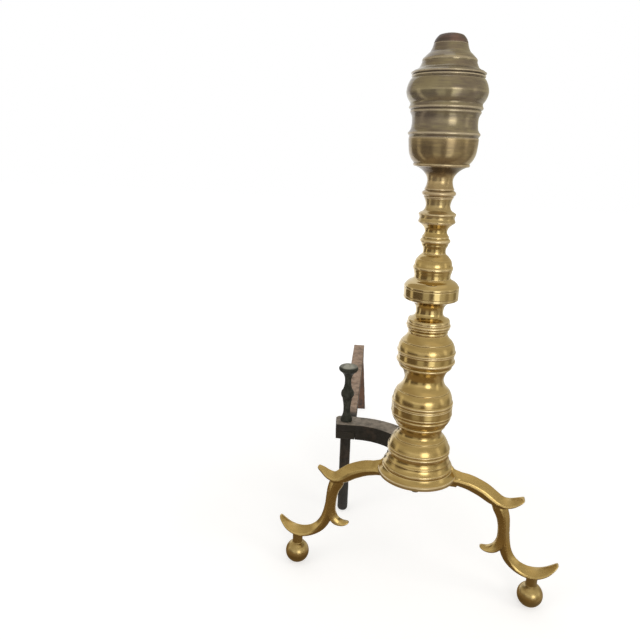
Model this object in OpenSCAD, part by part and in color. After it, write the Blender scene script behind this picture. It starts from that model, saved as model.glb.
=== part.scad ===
// Right-hand andiron of a pair: a turned brass column on two scrolled brass legs
// with ball feet, carried by a wrought-iron log rest that dog-legs to one side.
// The origin is on the hearth, straight under the middle of the column.
// +X is towards the right leg, -Y is the front, +Y runs back into the fire.

/* [Base plate and rod] */
// Height of the base plate's underside above the hearth
deck_z = 147.2; // [143:0.1:152]
// Radius of the round base plate
plate_r = 44.2; // [43.8:0.1:48]
// Thickness of the base plate
plate_h = 4; // [3:0.1:6]
// Diameter of the iron rod that the column is threaded on
rod_d = 9.5; // [8:0.1:10.5]
// Length of rod below the washer, with the nut on it
rod_stub = 11; // [9:0.5:16]
// How far the rod reaches up into the top button
rod_in_button = 5.4; // [4:0.1:6]
// Clearance all round the rod and round each register
slip = 0.15; // [0.1:0.05:0.3]
// Thickness of the washer under the iron eye
washer_h = 2.5; // [1.5:0.1:4]
// Radius of the washer
washer_r = 10; // [9:0.1:11]
// Width of the square nut across its flats
nut_w = 16; // [14:0.5:18]
// Thickness of the nut
nut_h = 6.5; // [5:0.5:8]

/* [Column joints] */
// Depth of the register that centres one section on the next
register_h = 2.4; // [1.5:0.1:3.5]
// Wall left outside a register
register_wall = 4.2; // [3.6:0.1:5]
// Least wall of the hollow castings
casting_wall = 4; // [3.5:0.1:4.5]
// Width of a turned line cut into the brass
line_w = 0.8; // [0.5:0.1:1]
// Depth of a turned line cut into the brass
line_deep = 0.5; // [0.3:0.1:0.7]

/* [Base skirt] */
// Height of the skirt
skirt_h = 24.4; // [22:0.1:28]
// Radius of the skirt where it meets the plate
skirt_r = 43.6; // [42.5:0.1:43.8]
// Radius of the step ring
skirt_step_r = 38.3; // [37:0.1:39.5]
// Radius of the hollow above the step ring
skirt_hollow_r = 33.5; // [32.5:0.1:34]
// Radius of the skirt's top joint
skirt_top_r = 34; // [33.6:0.1:35]

/* [Base bell] */
// Height of the bell
bell_h = 32.4; // [29:0.1:36]
// Radius of the bell's two rings
bell_ring_r = 34.3; // [34:0.1:36]
// Radius of the bell's shoulder line
bell_shoulder_r = 28.6; // [27:0.1:30]
// Radius of the bell's waist
bell_waist_r = 24; // [22:0.1:25.5]
// Radius of the joint above the waist
bell_top_r = 26.9; // [26:0.1:28]

/* [Lower bulb] */
// Height of the lower bulb from its foot ring to the joint above its neck
lower_bulb_h = 68; // [62:0.5:76]
// Radius of the band round its middle
lower_bulb_r = 33.4; // [32:0.1:36]
// Radius of the neck above it
lower_bulb_neck_r = 21.2; // [20:0.1:22.5]
// Radius of the foot ring
lower_bulb_foot_r = 27.4; // [27:0.1:29]
// Radius of the joint above the neck
lower_bulb_top_r = 27.4; // [26.5:0.1:28]

/* [Upper bulb] */
// Height of the upper bulb
upper_bulb_h = 38; // [34:0.5:43]
// Radius of the band round its middle
upper_bulb_r = 30.4; // [29.5:0.1:33]
// Radius of its foot ring
upper_bulb_foot_r = 28.2; // [27.6:0.1:29]
// Radius of the joint at its top
upper_bulb_top_r = 20.8; // [20:0.1:21.5]

/* [Neck ring] */
// Height of the neck ring
neck_ring_h = 12.5; // [11:0.1:14]
// Radius of the neck ring's beads
neck_ring_r = 23; // [22:0.1:24.5]

/* [Collar] */
// Height from the neck ring to the joint over the collar
collar_h = 47.5; // [43:0.5:53]
// Radius of the flat collar
collar_r = 28.7; // [27:0.1:32]
// Radius of the slim neck below the collar
collar_neck_r = 14.4; // [13.4:0.1:15.4]
// Radius of the joint over the collar
collar_top_r = 19; // [18:0.1:20]

/* [Ring bulb] */
// Height of the ring bulb
ring_bulb_h = 26; // [23:0.5:30]
// Radius of its ring
ring_bulb_r = 20.2; // [19.8:0.1:22]
// Radius of the joint at its top
ring_bulb_top_r = 12.1; // [11.7:0.1:13]

/* [Spools] */
// Height of the lower spool
lower_spool_h = 31; // [28:0.5:35]
// Radius of the lower spool's middle ring
lower_spool_r = 14.4; // [14.2:0.1:16]
// Radius of the lower spool's two waists
lower_spool_waist_r = 11.4; // [10.9:0.1:12]
// Height of the upper spool
upper_spool_h = 25; // [22:0.5:28]
// Radius of the upper spool's double ring
upper_spool_r = 18.9; // [17.8:0.1:20]
// Radius of the upper spool's waist
upper_spool_waist_r = 12.5; // [11.5:0.1:13.5]

/* [Finial] */
// Height of the stem below the cup
stem_h = 31; // [28:0.5:35]
// Radius of the stem's ring
stem_ring_r = 15.9; // [15.2:0.1:17]
// Radius of the stem's waist
stem_waist_r = 12.7; // [11.8:0.1:13.4]
// Radius of the stem's flare under the cup
stem_flare_r = 25.8; // [24:0.1:27]
// Height of the cup
cup_h = 27; // [24:0.5:30]
// Radius of the bead at the cup's foot
cup_foot_r = 27.4; // [26.5:0.1:28.5]
// Radius of the cup's wall
cup_r = 34.2; // [33:0.1:36]
// Height of the drum
drum_h = 56; // [50:0.5:62]
// Radius of the drum's bulb, the widest part of the finial
drum_r = 39.4; // [38:0.1:43]
// Radius of the hollow round the drum
drum_hollow_r = 31.9; // [31:0.1:33]
// Height of the lid
lid_h = 30.5; // [27:0.5:34]
// Radius of the lid's foot ring
lid_r = 35; // [34:0.1:37]
// Radius of the lid's rounded shoulder
lid_shoulder_r = 26.7; // [25.5:0.1:28]
// Radius of the seat for the button
lid_top_r = 16.7; // [16:0.1:18]
// Height of the button
button_h = 9.5; // [8.5:0.1:11]

/* [Brass legs] */
// Distance from the middle of the column to the middle of each ball foot
foot_x = 139.4; // [137:0.2:145]
// Diameter of the ball feet
ball_d = 28.7; // [26:0.1:31]
// Diameter of the short stem over each ball
foot_stem_d = 12.2; // [11:0.1:13]
// Height of the pad's seat on that stem above the hearth
pad_z = 39.5; // [38:0.1:42]
// Diameter of the tenon that is peened over on the pad
tenon_d = 6.5; // [5:0.1:7.5]
// Height of the peened head
tenon_head_h = 0.8; // [0.5:0.1:1.2]
// Distance of the crook of the knee from the middle of the column
knee_x = 100; // [98:0.2:103]
// Distance of the knee leaf's tip
knee_tip_x = 118.4; // [115:0.2:121]
// Distance of the upright part of the leg
upright_x = 101.6; // [100:0.2:104]
// Distance of the shin leaf's tip
shin_tip_x = 78.2; // [75:0.2:82]
// How far the foot pad's tip reaches past the ball
pad_reach = 24; // [21:0.2:26]
// Thickness of the arch between the plate and the knee
leg_root_t = 16.4; // [15:0.1:17]
// Thickness of the upright part of the leg
leg_t = 13.4; // [12:0.1:14]
// Thickness of the foot pad
pad_t = 10; // [9:0.1:11]
// Width of the arch from front to back
arch_w = 16; // [15:0.2:18]
// Width of the upright from front to back
leg_w = 13.6; // [12:0.2:15]
// Width of the foot pad from front to back
pad_w = 20; // [18:0.2:21]
// Distance of the leg rivets from the middle of the column
rivet_x = 32; // [31:0.1:33]
// Diameter of the leg rivets
rivet_d = 5; // [4:0.1:6]
// Height of each rivet head
rivet_head_h = 1.6; // [1:0.1:2.2]

/* [Log rest] */
// Height of the top of the iron bars above the hearth
rest_z = 139; // [136:0.5:141]
// Height of both iron bars
iron_h = 21.5; // [19:0.5:23]
// Width of the curved bar
arc_w = 29; // [26:0.5:30]
// Radius of the curved bar's middle line
arc_r = 83.5; // [76:0.5:90]
// Where the curve starts behind the column
arc_y = 49; // [47:0.5:56]
// Length of straight bar after the curve
arc_end = 27; // [25:0.5:34]
// Distance of the corner leg from the bar's free end
corner_in = 13; // [12:0.2:14]
// Thickness of the eye forged on the curved bar's front end
eye_h = 8.2; // [7:0.1:9]
// Width of that eye
eye_w = 24; // [22:0.5:26]
// Width of the billet bar
billet_w = 19.5; // [18:0.1:22]
// Length of the billet bar behind the curved bar
billet_len = 341; // [310:1:370]
// Outward angle of the billet bar, which is square to the curved bar's end
dog_leg = 8.5; // [7:0.1:11]
// Thickness of the rear leg
rear_t = 14; // [12:0.5:16]
// Sideways lean of the rear leg
rear_lean = 4; // [2:0.1:6]
// Backward splay of the rear leg
rear_splay = 12; // [8:0.1:15]
// Diameter of the round leg under the corner
corner_d = 14.6; // [13:0.1:16]
// Diameter of the shank that pins both bars to the corner leg
shank_d = 8; // [6.5:0.1:9]
// Depth of the shank's socket in the corner leg
shank_in_leg = 16; // [12:0.5:22]
// Height of the log stop
stop_h = 83; // [76:0.1:92]
// Radius of the log stop's flared base
stop_base_r = 8.1; // [7:0.1:9.5]
// Radius of the log stop's bead
stop_bead_r = 8.6; // [7.8:0.1:9.6]
// Radius of the log stop's slim parts
stop_slim_r = 4.7; // [4:0.1:5.2]
// Radius of the log stop's knob
stop_knob_r = 12.4; // [11:0.1:14]

/* [Hidden] */
fine = 96;
bore_fn = 48;

dark_brass = "#7f7254";
brass = "#b4975a";
iron = "#3b3835";
rusty_iron = "#6f5746";

// Each section of the column stands on the one below
plate_top = deck_z + plate_h;
bell_z = plate_top + skirt_h;
lower_bulb_z = bell_z + bell_h;
upper_bulb_z = lower_bulb_z + lower_bulb_h;
neck_ring_z = upper_bulb_z + upper_bulb_h;
collar_z = neck_ring_z + neck_ring_h;
ring_bulb_z = collar_z + collar_h;
lower_spool_z = ring_bulb_z + ring_bulb_h;
upper_spool_z = lower_spool_z + lower_spool_h;
stem_z = upper_spool_z + upper_spool_h;
cup_z = stem_z + stem_h;
drum_z = cup_z + cup_h;
lid_z = drum_z + drum_h;
button_z = lid_z + lid_h;
rod_hole_r = rod_d / 2 + slip;
iron_bottom = rest_z - iron_h;

function mix(a, b, share) = a + (b - a) * share;

// A turned outline is a list of steps [radius, percent of the height, bulge].
// The bulge is the tangent of a quarter of the angle that the arc to that step
// turns through: 0 is straight, above 0 swells out and below 0 is hollow.
function arc_to(from, to, bulge, parts = 6) =
    bulge == 0 ? [to] :
    let (chord = norm(to - from),
         half = 2 * atan(bulge),
         radius = chord / 2 / sin(half),
         along = (to - from) / chord,
         out = [along.y, -along.x],
         middle = (from + to) / 2)
    [for (k = [1 : parts])
        let (turn = half * (2 * k / parts - 1))
        k == parts ? to : middle + along * radius * sin(turn)
                                 + out * radius * (cos(turn) - cos(half))];

function turned(h, steps) =
    [for (i = [0 : len(steps) - 1])
        let (here = [steps[i][0], steps[i][1] * h / 100],
             last = i == 0 ? here : [steps[i - 1][0], steps[i - 1][1] * h / 100])
        each (i == 0 ? [here] : arc_to(last, here, steps[i][2]))];

// A bead is a half-round ring that stands proud of radius r by a part of its height
function bead(r, low, high, bulge = 0.45) = [[r, low, 0], [r, high, bulge]];

// A turned line is a small V cut at radius r, its middle at a percent of height h
function cut_line(r, at, h) =
    let (half = 50 * line_w / h)
    [[r, at - half, 0], [r - line_deep, at, 0], [r, at + half, 0]];

function register_r(joint_r) = joint_r - register_wall;

// One section of the column. It is bored for the rod, hollow inside up to a
// cone under its top joint, open at its foot for the spigot of the section below.
module section(z, h, steps, foot_r, top_r, hollow) {
    translate([0, 0, z])
    difference() {
        union() {
            rotate_extrude($fn = fine)
                polygon(concat([[0, 0]], turned(h, steps), [[0, h]]));
            if (top_r > 0)
                translate([0, 0, h])
                    cylinder(r = register_r(top_r), h = register_h, $fn = bore_fn);
        }
        if (foot_r > 0)
            translate([0, 0, -1])
                cylinder(r = register_r(foot_r) + slip, h = register_h + slip + 1, $fn = bore_fn);
        if (len(hollow) > 0)
            rotate_extrude($fn = bore_fn)
                polygon(concat([[0, 0]], [for (step = hollow) [step[0], step[1] * h / 100]],
                               [[0, hollow[len(hollow) - 1][1] * h / 100]]));
        translate([0, 0, -1])
            cylinder(r = rod_hole_r, h = h + register_h + 2, $fn = bore_fn);
    }
}

module base_plate() {
    edge = plate_h / 4;
    color(brass)
    translate([0, 0, deck_z])
    difference() {
        rotate_extrude($fn = fine)
            polygon(concat([[0, 0], [plate_r - edge, 0]],
                           arc_to([plate_r - edge, 0], [plate_r, edge], 0.4, 3),
                           arc_to([plate_r, plate_h - edge], [plate_r - edge, plate_h], 0.4, 3),
                           [[0, plate_h]]));
        translate([0, 0, -1])
            cylinder(r = rod_hole_r, h = plate_h + 2, $fn = bore_fn);
        for (side = [-1, 1])
            translate([side * rivet_x, 0, -1])
                cylinder(d = rivet_d, h = plate_h + 2, $fn = bore_fn);
    }
}

module base_skirt() {
    r = skirt_step_r;
    color(brass)
    section(plate_top, skirt_h, [
        [skirt_r, 0, 0],
        [r + 0.12 * (skirt_r - r), 24, -0.13],
        each bead(r, 26, 39, 0.25),
        [r - 0.2 * (r - skirt_hollow_r), 41, 0],
        [skirt_top_r + 1.2, 62, -0.1],
        [skirt_top_r + 0.7, 70, 0.2],
        [skirt_hollow_r, 88, -0.1],
        [skirt_top_r, 100, -0.12]],
        0, skirt_top_r,
        [[skirt_r - casting_wall, 0], [skirt_step_r - casting_wall, 22],
         [skirt_hollow_r - casting_wall, 60], [skirt_hollow_r - casting_wall - 1, 78],
         [rod_hole_r + 1, 90]]);
}

module base_bell() {
    r = bell_ring_r;
    color(brass)
    section(bell_z, bell_h, [
        [skirt_top_r, 0, 0],
        each bead(r - 0.2, 2, 9, 0.4),
        [r - 0.6, 12, -0.3],
        each bead(r, 14, 22),
        [bell_shoulder_r, 55, 0.09],
        [bell_shoulder_r - 0.9, 58.5, 0],
        [bell_waist_r, 78, -0.22],
        [bell_top_r, 100, -0.17]],
        skirt_top_r, bell_top_r,
        [[0, register_h * 50 / bell_h],
         [bell_ring_r - casting_wall - 3, register_h * 50 / bell_h],
         [bell_shoulder_r - casting_wall - 1, 48],
         [bell_waist_r - casting_wall - 1, 68],
         [bell_waist_r - casting_wall - 1, 80],
         [rod_hole_r + 1, 90]]);
}

module lower_bulb() {
    h = lower_bulb_h;
    r = lower_bulb_r;
    color(brass)
    section(lower_bulb_z, h, [
        [bell_top_r, 0, 0],
        each bead(lower_bulb_foot_r, 0.3, 3.6),
        [mix(lower_bulb_foot_r, r, 0.2), 5, 0],
        each bead(r - 1.4, 14, 18, 0.35),
        [r - 0.4, 20.5, -0.1],
        each bead(r - 0.2, 21, 24, 0.4),
        [r, 24.4, 0],
        [r, 34.4, 0],
        each bead(r - 0.3, 35, 38.5, 0.35),
        [r - 0.2, 43.5, 0.3],
        [r - 1.1, 47.6, 0],
        [r - 6.4, 64.4, 0.13],
        [r - 7.4, 66, 0],
        [lower_bulb_neck_r, 80, -0.2],
        [lower_bulb_top_r, 100, -0.17]],
        bell_top_r, lower_bulb_top_r,
        [[0, register_h * 50 / h],
         [lower_bulb_foot_r - casting_wall - 1, register_h * 50 / h],
         [r - casting_wall - 1.5, 20],
         [r - casting_wall - 1.5, 44],
         [lower_bulb_neck_r - casting_wall, 74],
         [lower_bulb_neck_r - casting_wall, 90],
         [rod_hole_r + 1, 96]]);
}

module upper_bulb() {
    h = upper_bulb_h;
    r = upper_bulb_r;
    color(brass)
    section(upper_bulb_z, h, [
        [lower_bulb_top_r, 0, 0],
        each bead(upper_bulb_foot_r, 1, 7, 0.4),
        [mix(upper_bulb_foot_r, r, 0.6), 10.5, 0],
        each bead(r + 0.6, 16.5, 23.7, 0.4),
        [r, 24.7, 0],
        [r, 40, 0],
        each bead(r + 0.2, 40.5, 45.3, 0.4),
        each bead(r + 0.8, 45.3, 51, 0.4),
        [r + 0.2, 54.2, 0],
        [r - 3, 77.4, 0.12],
        [r - 3.8, 81, 0],
        [upper_bulb_top_r, 100, -0.16]],
        lower_bulb_top_r, upper_bulb_top_r,
        [[0, register_h * 50 / h],
         [upper_bulb_foot_r - casting_wall - 1, register_h * 50 / h],
         [r - casting_wall, 20],
         [r - casting_wall, 50],
         [upper_bulb_top_r - casting_wall - 1, 82],
         [rod_hole_r + 1, 91]]);
}

module neck_ring() {
    r = neck_ring_r;
    color(brass)
    section(neck_ring_z, neck_ring_h, [
        [upper_bulb_top_r, 0, 0],
        each bead(r - 2.1, 5, 27, 0.3),
        [r - 0.7, 42, -0.1],
        [r - 0.4, 56, 0.4],
        each bead(r, 59, 83),
        [r - 0.4, 87, 0],
        [r - 0.6, 100, 0.4]],
        upper_bulb_top_r, neck_ring_r - 0.6, []);
}

module collar() {
    h = collar_h;
    r = collar_r;
    neck = collar_neck_r;
    color(brass)
    section(collar_z, h, [
        [neck_ring_r - 0.6, 0, 0],
        [mix(neck, neck_ring_r, 0.84), 7, 0.2],
        [neck + 1, 15, -0.2],
        [neck, 22.5, -0.1],
        [neck + 1, 35.6, -0.08],
        [mix(neck, r, 0.63), 49.3, -0.23],
        [r - 0.9, 52.8, 0],
        [r, 54.5, 0.3],
        each cut_line(r, 59.2, h),
        each cut_line(r, 77.7, h),
        [r, 81.5, 0],
        [r - 0.7, 83.6, 0.2],
        [mix(collar_top_r, r, 0.3), 94.3, 0.16],
        [collar_top_r, 100, -0.1]],
        neck_ring_r - 0.6, collar_top_r,
        [[0, 50], [neck - casting_wall, 50], [r - 2 * casting_wall, 58],
         [r - 2 * casting_wall, 78], [rod_hole_r + 1, 92]]);
}

module ring_bulb() {
    r = ring_bulb_r;
    color(brass)
    section(ring_bulb_z, ring_bulb_h, [
        [collar_top_r, 0, 0],
        [r - 0.7, 23, -0.12],
        each bead(r, 32, 48.5, 0.35),
        [r - 0.5, 51, 0],
        [r - 2.4, 76, 0.1],
        [r - 3.2, 78.5, 0],
        [ring_bulb_top_r, 100, 0.1]],
        collar_top_r, ring_bulb_top_r,
        []);
}

module lower_spool() {
    r = lower_spool_r;
    waist = lower_spool_waist_r;
    color(brass)
    section(lower_spool_z, lower_spool_h, [
        [ring_bulb_top_r, 0, 0],
        [waist + 1.4, 22.6, -0.2],
        [r - 0.7, 29.7, 0.2],
        each bead(r, 34.2, 48.4, 0.5),
        [r - 0.5, 51.6, 0],
        [r - 1.1, 57.5, 0.3],
        [waist, 69.7, -0.15],
        [waist + 1.2, 84.5, -0.15],
        [upper_spool_r - 1.2, 100, -0.08]],
        ring_bulb_top_r, upper_spool_r - 1.2, []);
}

module upper_spool() {
    r = upper_spool_r;
    waist = upper_spool_waist_r;
    color(brass)
    section(upper_spool_z, upper_spool_h, [
        [r - 1.2, 0, 0],
        [r, 3, 0.3],
        [r, 9, 0.2],
        [r, 32, -0.2],
        [r, 39, 0.25],
        [mix(waist, r, 0.65), 44.8, 0],
        [waist, 65.6, -0.3],
        [waist, 82.4, -0.1],
        [stem_ring_r - 1.3, 100, -0.08]],
        upper_spool_r - 1.2, stem_ring_r - 1.3, []);
}

module finial_stem() {
    r = stem_ring_r;
    color(dark_brass)
    section(stem_z, stem_h, [
        [r - 1.3, 0, 0],
        [r - 1.1, 5.2, 0.5],
        each bead(r, 9, 22.6, 0.5),
        [r - 1.5, 25.5, 0],
        [r - 1.7, 32.2, 0.4],
        [stem_waist_r, 54.8, -0.1],
        [stem_waist_r + 1.4, 71.5, -0.12],
        [mix(stem_waist_r, stem_flare_r, 0.8), 95, -0.13],
        [stem_flare_r, 100, 0]],
        stem_ring_r - 1.3, stem_flare_r, []);
}

module finial_cup() {
    h = cup_h;
    foot = cup_foot_r;
    color(dark_brass)
    section(cup_z, h, [
        [foot, 0, 0],
        [foot, 11, 0.5],
        [foot + 0.6, 13, 0],
        [mix(foot, cup_r, 0.9), 56, 0.17],
        [cup_r, 100, 0.02]],
        stem_flare_r, cup_r,
        [[0, register_h * 50 / h],
         [stem_flare_r - casting_wall - 2, register_h * 50 / h],
         [cup_r - 2.3 * casting_wall, 40], [cup_r - 2.3 * casting_wall, 70],
         [rod_hole_r + 1, 88]]);
}

module finial_drum() {
    h = drum_h;
    r = drum_r;
    hollow_r = drum_hollow_r;
    color(dark_brass)
    section(drum_z, h, [
        [cup_r, 0, 0],
        [cup_r - 0.4, 1.8, 0],
        [cup_r + 0.4, 4.6, 0],
        [cup_r + 0.4, 9.6, 0.5],
        [hollow_r + 0.5, 18, -0.15],
        [hollow_r + 0.3, 34, -0.06],
        [hollow_r + 2, 41.4, -0.1],
        [hollow_r + 2, 46.4, 0.35],
        [hollow_r + 2.1, 47.2, 0],
        each bead(hollow_r + 3.5, 48.2, 52.9, 0.35),
        [hollow_r + 2.9, 56, 0],
        [hollow_r + 3.1, 58.5, 0],
        [r, 77, 0.17],
        [r - 3.8, 97, 0.14],
        [r - 4.6, 98.6, 0],
        [lid_r - 0.4, 100, 0]],
        cup_r, lid_r - 0.4,
        [[0, register_h * 50 / h],
         [cup_r - casting_wall - 2, register_h * 50 / h],
         [hollow_r - casting_wall, 20], [hollow_r - casting_wall, 45],
         [r - 2 * casting_wall, 65], [r - 2 * casting_wall, 80], [rod_hole_r + 1, 94]]);
}

module finial_lid() {
    h = lid_h;
    r = lid_r;
    shoulder = lid_shoulder_r;
    color(dark_brass)
    section(lid_z, h, [
        [r - 0.4, 0, 0],
        each bead(r, 0.8, 7, 0.5),
        [r - 0.4, 8, 0],
        each bead(r - 0.1, 9.2, 15.2, 0.4),
        [r - 1.6, 18.4, 0],
        [mix(shoulder, r, 0.3), 28.2, -0.1],
        [shoulder + 0.2, 44.6, -0.06],
        [shoulder - 0.1, 55.8, 0.3],
        [mix(lid_top_r, shoulder, 0.43), 72.8, 0.02],
        [lid_top_r, 100, -0.12]],
        lid_r - 0.4, 0,
        [[0, register_h * 50 / h],
         [r - casting_wall - 3, register_h * 50 / h],
         [shoulder - casting_wall, 36], [shoulder - casting_wall - 1, 50],
         [lid_top_r - casting_wall, 76], [rod_hole_r + 1, 84]]);
}

module top_button() {
    color("#5b4436")
    translate([0, 0, button_z])
    difference() {
        rotate_extrude($fn = fine)
            polygon(turned(button_h, [[0, 0, 0], [lid_top_r - 0.1, 0, 0],
                                      [lid_top_r - 0.2, 13, 0.2],
                                      [lid_top_r * 0.7, 79, 0.16], [0, 100, 0.08]]));
        translate([0, 0, -1])
            cylinder(r = rod_hole_r, h = rod_in_button + slip + 1, $fn = bore_fn);
    }
}

// ---- Brass legs ----

// Each leg is three swept bars in one casting. A station is [x, z, thickness, width,
// crown] on a bar's middle line; the crown tells how far the outer face swells.
function high(share) = mix(pad_z, deck_z, share);
function along_arch(share) = mix(plate_r, knee_x, share);

// From the plate over to the knee, and on into the knee leaf
arch_line = [
    [plate_r - 2, high(0.994), leg_root_t - 2, arch_w + 1.6, 0.95],
    [along_arch(0.12), high(0.985), leg_root_t - 0.6, arch_w + 1, 1],
    [along_arch(0.3), high(0.962), leg_root_t + 0.2, arch_w + 0.2, 1],
    [along_arch(0.55), high(0.904), leg_root_t + 0.4, arch_w - 0.2, 1],
    [along_arch(0.75), high(0.838), leg_root_t - 1.2, arch_w, 1],
    [along_arch(0.88), high(0.809), leg_root_t - 3.6, arch_w + 0.8, 0.9],
    [knee_x, high(0.801), leg_root_t * 0.67, arch_w + 1.6, 0.65],
    [mix(knee_x, knee_tip_x, 0.36), high(0.812), leg_root_t * 0.57, arch_w + 1.2, 0.5],
    [mix(knee_x, knee_tip_x, 0.67), high(0.837), leg_root_t * 0.48, arch_w - 0.4, 0.45],
    [mix(knee_x, knee_tip_x, 0.9), high(0.861), leg_root_t * 0.37, arch_w * 0.81, 0.5],
    [knee_tip_x, high(0.874), leg_root_t * 0.26, arch_w * 0.6, 0.6]];

// From under the knee down the upright, and inwards into the shin leaf
upright_line = [
    [along_arch(0.71), high(0.854), leg_t * 0.75, leg_w * 0.8, 1],
    [along_arch(0.86), high(0.747), leg_t, leg_w - 0.2, 1],
    [upright_x - 4.2, high(0.65), leg_t + 0.4, leg_w, 1],
    [upright_x - 1.4, high(0.552), leg_t + 0.2, leg_w - 0.2, 1],
    [upright_x, high(0.45), leg_t + 0.2, leg_w - 0.2, 1],
    [upright_x - 0.4, high(0.357), leg_t - 0.4, leg_w, 1],
    [mix(upright_x, shin_tip_x, 0.17), high(0.283), leg_t - 1.8, leg_w - 0.2, 0.9],
    [mix(upright_x, shin_tip_x, 0.41), high(0.239), leg_t * 0.69, leg_w - 0.8, 0.8],
    [mix(upright_x, shin_tip_x, 0.69), high(0.226), leg_t * 0.49, leg_w * 0.82, 0.8],
    [mix(upright_x, shin_tip_x, 0.9), high(0.235), leg_t * 0.36, leg_w * 0.63, 0.8],
    [shin_tip_x, high(0.244), leg_t * 0.22, leg_w * 0.41, 0.8]];

// From inside the upright out to the foot pad and its upturned tip
foot_line = [
    [upright_x - 1.2, high(0.562), leg_t * 0.8, leg_w - 1.2, 1],
    [upright_x + 0.6, high(0.45), leg_t - 1, leg_w - 0.6, 1],
    [upright_x + 2.2, high(0.339), leg_t - 0.4, leg_w, 1],
    [mix(upright_x, foot_x, 0.13), high(0.237), leg_t - 0.4, leg_w + 0.4, 1],
    [mix(upright_x, foot_x, 0.275), high(0.14), leg_t - 0.4, leg_w + 1.4, 1],
    [mix(upright_x, foot_x, 0.5), high(0.07), pad_t + 2.4, mix(leg_w, pad_w, 0.47), 0.9],
    [mix(upright_x, foot_x, 0.79), high(0.036), pad_t + 1, pad_w - 1, 0.8],
    [foot_x + pad_reach * 0.11, high(0.036), pad_t, pad_w, 0.7],
    [foot_x + pad_reach * 0.5, high(0.07), pad_t * 0.86, pad_w * 0.9, 0.65],
    [foot_x + pad_reach * 0.79, high(0.118), pad_t * 0.68, pad_w * 0.7, 0.6],
    [foot_x + pad_reach * 0.94, high(0.153), pad_t * 0.5, pad_w * 0.5, 0.6],
    [foot_x + pad_reach, high(0.17), pad_t * 0.34, pad_w * 0.32, 0.6]];

// Cross-section of the leg, as shares of its width and thickness: a crowned outer
// face, an arris along each side, then sides that draw in to a narrow inner face
arris = -0.04;
leg_section = [[-0.5, arris], [-0.4, 0.3], [-0.15, 0.48], [0.15, 0.48], [0.4, 0.3], [0.5, arris],
               [0.4, -0.32], [0.22, -0.5], [-0.22, -0.5], [-0.4, -0.32]];

function between(a, b, c, d, t) =
    0.5 * ((2 * b) + (c - a) * t + (2 * a - 5 * b + 4 * c - d) * t * t
           + (3 * b - a - 3 * c + d) * t * t * t);

// A smooth line through the stations, with a few steps from each to the next
function smooth_line(line, steps) =
    let (last = len(line) - 1)
    [for (i = [0 : last - 1])
        for (k = [0 : steps - 1])
            between(line[max(i - 1, 0)], line[i], line[i + 1], line[min(i + 2, last)], k / steps),
     line[last]];

module swept_bar(line) {
    last = len(line) - 1;
    n = len(leg_section);
    points = [for (i = [0 : last])
        let (here = line[i],
             run = line[min(i + 1, last)] - line[max(i - 1, 0)],
             flat = [run[0], run[1]] / norm([run[0], run[1]]),
             out = [-flat[1], flat[0]])
        each [for (p = leg_section)
            let (rise = p[1] > arris ? mix(arris, p[1], here[4]) : p[1])
            [here[0] + out[0] * rise * here[2], p[0] * here[3],
             here[1] + out[1] * rise * here[2]]]];
    faces = concat(
        [[for (k = [n - 1 : -1 : 0]) k]],
        [for (i = [0 : last - 1]) for (k = [0 : n - 1])
            let (a = i * n + k, b = i * n + (k + 1) % n)
            each [[a, b, b + n], [a, b + n, a + n]]],
        [[for (k = [0 : n - 1]) last * n + k]]);
    polyhedron(points, faces, convexity = 6);
}

tongue_t = leg_root_t * 0.52;
tongue_w = leg_w - 0.6;
pad_top = pad_z + pad_t * 0.68;
tongue_x = rivet_x * 0.75;

module brass_leg() {
    difference() {
        union() {
            swept_bar(smooth_line(arch_line, 3));
            swept_bar(smooth_line(upright_line, 3));
            swept_bar(smooth_line(foot_line, 3));
            translate([tongue_x, -tongue_w / 2, deck_z - tongue_t])
                cube([plate_r - tongue_x, tongue_w, tongue_t]);
        }
        translate([0, 0, deck_z])
            cylinder(r = plate_r, h = 20, $fn = fine);
        translate([rivet_x, 0, deck_z - 2 * tongue_t])
            cylinder(d = rivet_d, h = 3 * tongue_t, $fn = bore_fn);
        translate([foot_x, 0, pad_z - pad_t])
            cylinder(d = tenon_d, h = 3 * pad_t, $fn = bore_fn);
        translate([foot_x, 0, pad_z - pad_t])
            cylinder(d = foot_stem_d + 2 * slip, h = pad_t, $fn = bore_fn);
        translate([foot_x, 0, pad_top])
            cylinder(d = tenon_d + 2, h = pad_t, $fn = bore_fn);
    }
}

module right_leg() {
    color(brass)
    brass_leg();
}

module left_leg() {
    color(brass)
    mirror([1, 0, 0]) brass_leg();
}

module leg_rivets() {
    under = deck_z - tongue_t;
    color(brass)
    for (side = [-1, 1])
        translate([side * rivet_x, 0, 0]) {
            translate([0, 0, under - rivet_head_h])
                cylinder(d = rivet_d * 1.7, h = rivet_head_h, $fn = bore_fn);
            translate([0, 0, under - rivet_head_h / 2])
                cylinder(d = rivet_d, h = plate_top - under + rivet_head_h, $fn = bore_fn);
            translate([0, 0, plate_top])
                cylinder(d = rivet_d * 1.7, h = rivet_head_h, $fn = bore_fn);
        }
}

module ball_foot(x) {
    color(dark_brass)
    translate([x, 0, 0]) {
        rotate_extrude($fn = fine)
            polygon(concat(arc_to([0, 0], [0, ball_d], 1, 32)));
        translate([0, 0, ball_d / 2])
            cylinder(d = foot_stem_d, h = pad_z - ball_d / 2, $fn = bore_fn);
        translate([0, 0, ball_d / 2])
            cylinder(d = tenon_d, h = pad_top - ball_d / 2, $fn = bore_fn);
        translate([0, 0, pad_top])
            cylinder(d = tenon_d + 1.6, h = tenon_head_h, $fn = bore_fn);
    }
}

module left_ball_foot() {
    ball_foot(-foot_x);
}

module right_ball_foot() {
    ball_foot(foot_x);
}

// ---- Tie rod ----

washer_z = deck_z - eye_h - washer_h;

module tie_rod() {
    color(iron)
    translate([0, 0, washer_z - rod_stub])
        cylinder(d = rod_d, h = button_z + rod_in_button - washer_z + rod_stub, $fn = bore_fn);
}

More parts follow.
